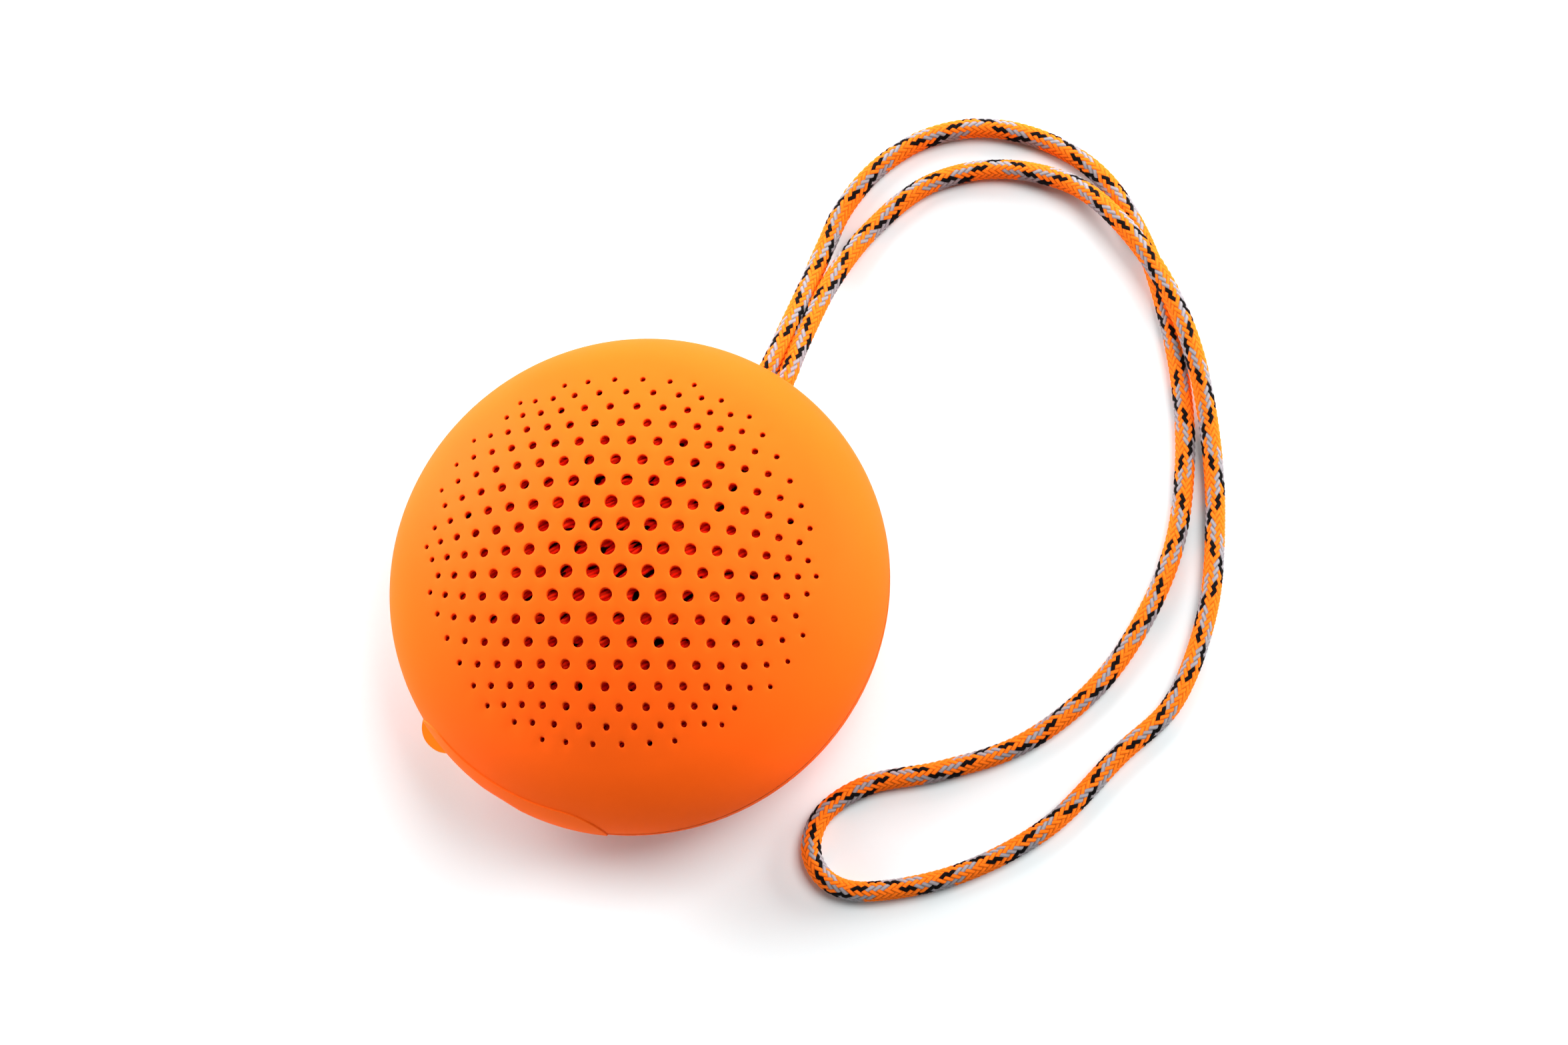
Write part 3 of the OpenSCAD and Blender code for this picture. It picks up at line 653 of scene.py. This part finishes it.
def add_front_shell():
    """The dome, with its wall thinner within the hole field, and the shoulder down to the rim."""
    places, triangles, rim, loops = perforated_field()
    count = len(places)
    points = [(p.x, p.y, crown_z(p.x, p.y)) for p in places]
    points += [(p.x, p.y, crown_z(p.x, p.y, GRILLE_WALL)) for p in places]
    faces = [tuple(t) for t in triangles]
    faces += [tuple(v + count for v in reversed(t)) for t in triangles]
    skin = Skin(points, faces)
    for hole, loop in zip(HOLES, loops):
        add_hole_wall(skin, hole, loop, [v + count for v in loop])
    outer_profile = shell_profile(0, FIELD_R, FRONT_RIM_Z + SHELL_EDGE) + rim_edge()
    seat_edge = (FIELD_R, crown_z(FIELD_R, 0, WALL))
    inner_profile = [seat_edge] + shell_profile(WALL, FIELD_R, FRONT_RIM_Z)
    outer = [rim] + skin.revolved(outer_profile)
    inner = [[v + count for v in rim]] + skin.revolved(inner_profile)
    skin.strips(outer, facing_out=True)
    skin.strips(inner, facing_out=False)
    skin.strip(outer[-1], inner[-1])
    shell = mesh_object("perforated_shell", skin.points, skin.faces)
    shell.data.materials.append(MATERIALS["shell_orange"])
    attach(shell, "housing")
    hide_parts("front_shell")


# ---- Liner behind the holes ----

# LINER_R is the radius that the liner covers.
LINER_R = 34.6 * MM
LINER_STEP = 0.22 * MM
LINER_GAP = 0.12 * MM
LINER_T = 0.25 * MM

# The folds run FOLD_ANGLE from +X. Each kind of fold is given by its changes to a metre, along the
# folds and across them.
FOLD_ANGLE = math.radians(58)
FOLD_WAY = (math.cos(FOLD_ANGLE), math.sin(FOLD_ANGLE))
FOLD_DEPTH = 0.9 * MM
FOLD_DRIFT = 1.5 * MM
BROAD_FOLDS = (260, 950)
FINE_FOLDS = (500, 2400)
RIBS = 480.0


def folds(along, across, kind, layer):
    return noise.noise(Vector((along * kind[0], across * kind[1], layer)))


def fold_height(x, y):
    """Creased cloth, 0 to 1: narrow folds that run one way, wander, and grow shallow outwards."""
    drift = noise.noise(Vector((x, y, 3.0)) * BROAD_FOLDS[0]) * FOLD_DRIFT
    along = FOLD_WAY[0] * x + FOLD_WAY[1] * y
    across = FOLD_WAY[1] * x - FOLD_WAY[0] * y + drift
    taut = (x * x + y * y) / FIELD_R ** 2
    broad = folds(along, across, BROAD_FOLDS, 0)
    fine = folds(along, across, FINE_FOLDS, 7)
    return min(1.0, max(0.0, 0.45 + 0.3 * taut + 0.8 * broad + 0.3 * fine))


def cloth_material():
    """Red ribbed cloth with ribs along the folds: painted shade turns it black in the lowest folds and
    darkens it between the ribs, and painted light brightens the fold tops.
    """
    tree = Tree("creased_cloth")
    fold = tree.node("ShaderNodeAttribute", attribute_name="fold").outputs["Fac"]
    turn = {"Vector": tree.position(), "Rotation": (0, 0, math.pi / 2 - FOLD_ANGLE)}
    turned = tree.node("ShaderNodeMapping", turn).outputs[0]
    rib = {"Vector": turned, "Scale": RIBS, "Distortion": 2.5, "Detail": 1.0}
    ribs = tree.node("ShaderNodeTexWave", rib, bands_direction="X").outputs["Fac"]
    # Painted shade and painted light by fold height, from black in the deepest folds to brighter on the
    # tops.
    fold_light_and_shade = tree.ramp(fold, [(0.25, FOLD_PAINTED_SHADE), (0.3, FOLD_PAINTED_HALF_SHADE), (0.5, FOLD_MIDDLE), (0.9, FOLD_PAINTED_LIGHT)])
    # Painted shade between the ribs: the colour is darkened to half in each rib's groove.
    tree.set("Base Color", tree.shaded(fold_light_and_shade, tree.between(ribs, 0.5, 1.0)))
    tree.set("Roughness", 0.75)
    tree.set("Specular IOR Level", 0.05)
    tree.bump(ribs, 0.05 * MM, 0.5)
    return tree.material


def add_liner():
    count = int(2 * LINER_R / LINER_STEP)
    points, heights, index = [], [], {}
    for j in range(count + 1):
        for i in range(count + 1):
            x, y = -LINER_R + i * LINER_STEP, -LINER_R + j * LINER_STEP
            if x * x + y * y > LINER_R * LINER_R:
                continue
            height = fold_height(x, y)
            index[i, j] = len(points)
            top = crown_z(x, y, GRILLE_WALL + LINER_GAP)
            points.append((x, y, top - FOLD_DEPTH * (1 - height)))
            heights.append(height)
    faces = []
    for (i, j), v in index.items():
        corners = [index.get(c) for c in ((i, j), (i + 1, j), (i + 1, j + 1), (i, j + 1))]
        if None not in corners:
            faces.append(corners)
    liner = mesh_object("creased_liner", points, faces)
    # The fold height also sets the cloth's painted shade and painted light.
    attribute = liner.data.attributes.new("fold", "FLOAT", "POINT")
    attribute.data.foreach_set("value", np.array(heights, np.float32))
    solid = liner.modifiers.new("thickness", "SOLIDIFY")
    solid.thickness = LINER_T
    liner.data.materials.append(cloth_material())
    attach(liner, "housing")
    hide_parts("grille_liner")


# ---- CAD nodes that keep their shape ----

EDGES = {
    "rear_shell": 0.1 * MM, "port_flap": 0.2 * MM, "base_pad": 0.12 * MM, "rear_foot": 0.2 * MM,
    "cord_grommet": 0.3 * MM, "power_button": 0.25 * MM, "play_button": 0.25 * MM,
    "volume_down_button": 0.25 * MM, "volume_up_button": 0.25 * MM,
}


def round_edges(node, width):
    """Rounds over the sharp edges of a CAD node as it is shown."""
    bevel = nodes[node].modifiers.new("rounded_edges", "BEVEL")
    bevel.width = width
    bevel.segments = 3
    bevel.limit_method = "ANGLE"
    bevel.angle_limit = math.radians(35)
    bevel.use_clamp_overlap = True
    bevel.harden_normals = True


# ---- Raised symbols on the keys ----

# The symbols on the keys, in millimetres: each stands out of the key's face at KEY_FACE_Z as far as
# SYMBOL_Z, and reaches SYMBOL_ROOT into the key.
KEY_OFFSET = 13
KEY_FACE_Z = 0.4
SYMBOL_Z = 0.22
SYMBOL_ROOT = 0.05
BAR = 0.5


def box_outline(x, y, w, h):
    return [(x - w / 2, y - h / 2), (x + w / 2, y - h / 2), (x + w / 2, y + h / 2), (x - w / 2, y + h / 2)]


def add_symbol(key, x, y, outlines):
    """Raised shapes on the outer face of a key, each given as an outline in millimetres."""
    points, faces = [], []
    for outline in outlines:
        first, count = len(points), len(outline)
        for z in (SYMBOL_Z, KEY_FACE_Z + SYMBOL_ROOT):
            points += [((x + px) * MM, (y + py) * MM, z * MM) for px, py in outline]
        faces.append(range(first + count - 1, first - 1, -1))
        faces.append(range(first + count, first + 2 * count))
        for k in range(count):
            n = (k + 1) % count
            faces.append((first + k, first + n, first + count + n, first + count + k))
    symbol = mesh_object(key + "_symbol", points, faces, smooth=False)
    symbol.data.materials.append(MATERIALS["key_rubber"])
    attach(symbol, key + "_key")


def add_key_symbols():
    open_ring = []
    for r, turns in ((1.7, np.linspace(30, 330, 31)), (1.2, np.linspace(330, 30, 31))):
        open_ring += [(r * math.sin(math.radians(t)), r * math.cos(math.radians(t))) for t in turns]
    add_symbol("play", 0, 0, [[(-1.3, -1.9), (2, 0), (-1.3, 1.9)]])
    add_symbol("power", 0, -KEY_OFFSET, [open_ring, box_outline(0, 1.2, BAR, 1.6)])
    add_symbol("volume_down", -KEY_OFFSET, 0, [box_outline(0, 0, 3, BAR)])
    add_symbol("volume_up", KEY_OFFSET, 0, [
        box_outline(0, 0, 3, BAR), box_outline(0, 0.9, BAR, 1.2), box_outline(0, -0.9, BAR, 1.2),
    ])


# ---- Materials of the slots ----


def clear_acrylic(name):
    tree = surface(name, (0.85, 0.87, 0.9), 0.12, 0.3 * MM, 0.001 * MM)
    tree.set("Transmission Weight", 0.7)
    return tree.material


def make_materials():
    """One material for each of the record's slots, but for the liner's and the cord's own."""
    return {
        "shell_orange": soft_touch("soft_touch_orange", ORANGE),
        "key_rubber": rubber("key_rubber", DEEP_ORANGE),
        "flap_rubber": soft_touch("flap_rubber", FLAP_ORANGE),
        "pad_rubber": soft_touch("pad_rubber", PAD_ORANGE),
        "seal_rubber": rubber("seal_rubber", (0.02, 0.018, 0.018)),
        "surround_rubber": rubber("surround_rubber", (0.012, 0.012, 0.013), 0.55),
        "lead_red": rubber("lead_insulation", (0.45, 0.012, 0.01), 0.45),
        "foam_dark": rubber("foam", (0.03, 0.03, 0.033), 0.95),
        "frame_plastic": plastic("moulded_frame", (0.02, 0.02, 0.022)),
        "switch_black": plastic("switch_housing", (0.012, 0.012, 0.012), 0.35),
        "connector_white": plastic("connector_housing", (0.75, 0.71, 0.6), 0.4),
        "terminal_board": plastic("pressed_board", (0.25, 0.13, 0.04), 0.7),
        "led_white": plastic("lamp_resin", (0.85, 0.83, 0.62), 0.2),
        "ferrite": surface("ferrite", (0.025, 0.025, 0.028), 0.5, 0.1 * MM, 0.01 * MM).material,
        "cone_paper": surface("pressed_pulp", (0.02, 0.02, 0.022), 0.85, 0.4 * MM, 0.03 * MM).material,
        "spider_fabric": woven("stiffened_cloth", (0.5, 0.3, 0.08), 0.5 * MM),
        "basket_metal": surface("painted_basket", (0.02, 0.02, 0.022), 0.4, 0.3 * MM, 0.01 * MM).material,
        "screw_steel": steel("screw_steel"),
        "motor_steel": steel("plated_steel", (0.6, 0.6, 0.58)),
        "shield_metal": steel("tinned_shield", (0.66, 0.66, 0.67), 0.28),
        "battery_foil": steel("pouch_foil", (0.6, 0.62, 0.66), 0.42),
        "copper": steel("copper_wire", (0.72, 0.28, 0.11), 0.3),
        "board_green": circuit_board("solder_mask"),
        "light_pipe_clear": clear_acrylic("clear_acrylic"),
    }


def dress_cad_nodes():
    slots = {s["node"]: s["material_slot"] for s in frame["record"]["subparts"]}
    for name, obj in nodes.items():
        made = MATERIALS.get(slots[name])
        if made is None:
            continue
        if not obj.material_slots:
            obj.data.materials.append(made)
        for slot in obj.material_slots:
            slot.material = made


# ---- Surroundings ----

FLOOR_HALF = 0.22

# Each lamp by its azimuth from +X towards +Y and its elevation, in degrees, and its power in watts
LAMP_SIZE = 0.65
LAMP_DISTANCE = 1.2
LAMPS = {
    "left": (174, 10, 30), "left_high": (172, 40, 5.5), "back": (108, 10, 13),
    "back_high": (114, 30, 4.7), "right": (54, 10, 22), "right_high": (54, 57, 12),
    "front_left": (242, 10, 8.5),
}

# Strength of the white world as the camera sees it, and as it lights the scene
WORLD_SEEN = 1.0
WORLD_GLOW = 0.03


def add_floor():
    """White sheet that the speaker lies on; past its edge the white world goes on."""
    half = FLOOR_HALF
    floor = mesh_object("floor", [(-half, -half, 0), (half, -half, 0), (half, half, 0), (-half, half, 0)],
                        [(0, 1, 2, 3)], smooth=False)
    tree = surface("pale_floor", FLOOR_WHITE, 0.9, 2 * MM, 0.001 * MM, specular=0.1, vary=0.004, patch=2)
    floor.data.materials.append(tree.material)


def add_lamp(name, azimuth, elevation, energy):
    """Square lamp that faces the object."""
    a, e = math.radians(azimuth), math.radians(elevation)
    toward = Vector((math.cos(a) * math.cos(e), math.sin(a) * math.cos(e), math.sin(e)))
    lamp = bpy.data.lights.new(name, "AREA")
    lamp.shape = "SQUARE"
    lamp.size = LAMP_SIZE
    lamp.energy = energy
    placed = bpy.data.objects.new(name, lamp)
    placed.location = toward * LAMP_DISTANCE
    placed.rotation_mode = "QUATERNION"
    placed.rotation_quaternion = (-toward).to_track_quat("-Z", "Y")
    bpy.context.scene.collection.objects.link(placed)


def add_world():
    """White where it is seen directly, and only a faint glow on the object."""
    world = bpy.data.worlds.new("studio")
    world.use_nodes = True
    background = world.node_tree.nodes["Background"]
    background.inputs["Color"].default_value = (1, 1, 1, 1)
    seen = world.node_tree.nodes.new("ShaderNodeLightPath").outputs["Is Camera Ray"]
    strength = world.node_tree.nodes.new("ShaderNodeMapRange")
    strength.inputs["To Min"].default_value = WORLD_GLOW
    strength.inputs["To Max"].default_value = WORLD_SEEN
    world.node_tree.links.new(seen, strength.inputs["Value"])
    world.node_tree.links.new(strength.outputs["Result"], background.inputs["Strength"])
    bpy.context.scene.world = world


def add_lights():
    add_world()
    for name, (azimuth, elevation, energy) in LAMPS.items():
        add_lamp(name, azimuth, elevation, energy)
    bpy.context.scene.view_settings.view_transform = "Standard"


# ---- Build ----

MATERIALS = make_materials()
add_camera()
add_cord()
dress_cad_nodes()
add_front_shell()
add_liner()
add_key_symbols()
for node, width in EDGES.items():
    round_edges(node, width)
add_floor()
add_lights()
